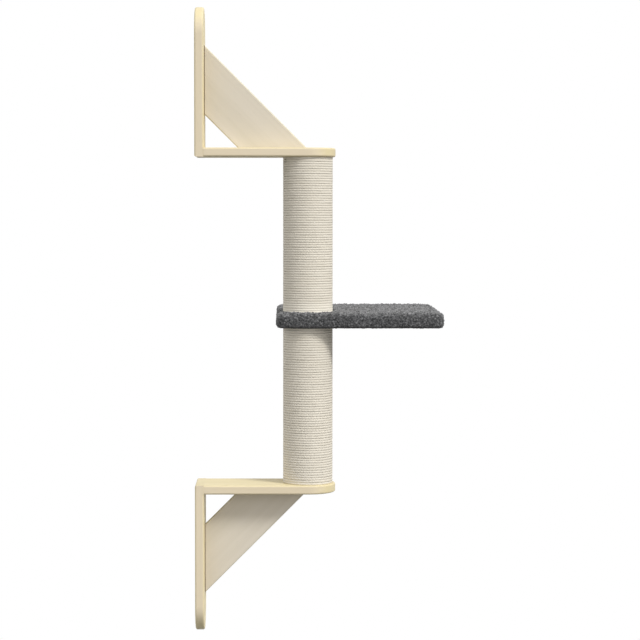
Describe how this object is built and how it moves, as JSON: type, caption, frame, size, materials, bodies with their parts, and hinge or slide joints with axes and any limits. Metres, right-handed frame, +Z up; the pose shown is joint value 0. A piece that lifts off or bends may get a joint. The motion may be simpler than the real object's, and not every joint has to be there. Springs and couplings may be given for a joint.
{
  "type": "wall mounted cat tree",
  "caption": "Wall mounted cat tree: upper and lower braced shelf brackets, rope-wound scratching posts between them and a plush-covered platform clamped at mid height.",
  "frame": {"origin": "centre of the upper wall board's four screw holes, in the plane of the wall", "axes": "+X along the wall towards the platform's free end, +Y out of the room into the wall, +Z up"},
  "size_m": [0.34, 0.44, 1.11],
  "materials": {
    "board": "pale board with a fine, soft grain, satin",
    "dowel_wood": "plain beech dowel",
    "plug_wood": "raw chipboard",
    "tube_card": "spiral-wound grey-brown card",
    "sisal": "fine cream sisal rope, wound close",
    "plush": "short dark grey plush with light flecks",
    "screw_steel": "zinc-plated steel"
  },
  "bodies": {
    "root": {"upper_wall_board": "board", "lower_wall_board": "board", "upper_shelf_board": "board", "lower_shelf_board": "board", "upper_brace": "board", "lower_brace": "board", "upper_corner_screws": "screw_steel", "lower_corner_screws": "screw_steel", "upper_brace_screws": "screw_steel", "lower_brace_screws": "screw_steel", "upper_post_screws": "screw_steel", "lower_post_screws": "screw_steel", "upper_corner_dowels": "dowel_wood", "lower_corner_dowels": "dowel_wood", "upper_brace_dowels": "dowel_wood", "lower_brace_dowels": "dowel_wood", "upper_post_tube": "tube_card", "lower_post_tube": "tube_card", "upper_post_rope": "sisal", "lower_post_rope": "sisal", "upper_post_outer_plug": "plug_wood", "lower_post_outer_plug": "plug_wood", "upper_post_inner_plug": "plug_wood", "lower_post_inner_plug": "plug_wood", "upper_barrel_nut": "screw_steel", "lower_barrel_nut": "screw_steel", "upper_tube_nails": "screw_steel", "lower_tube_nails": "screw_steel", "upper_rope_staples": "screw_steel", "lower_rope_staples": "screw_steel", "platform_board": "plug_wood", "plush_top_cover": "plush", "plush_bottom_panel": "plush", "cover_staples": "screw_steel", "centre_stud": "screw_steel"}
  },
  "joints": []
}
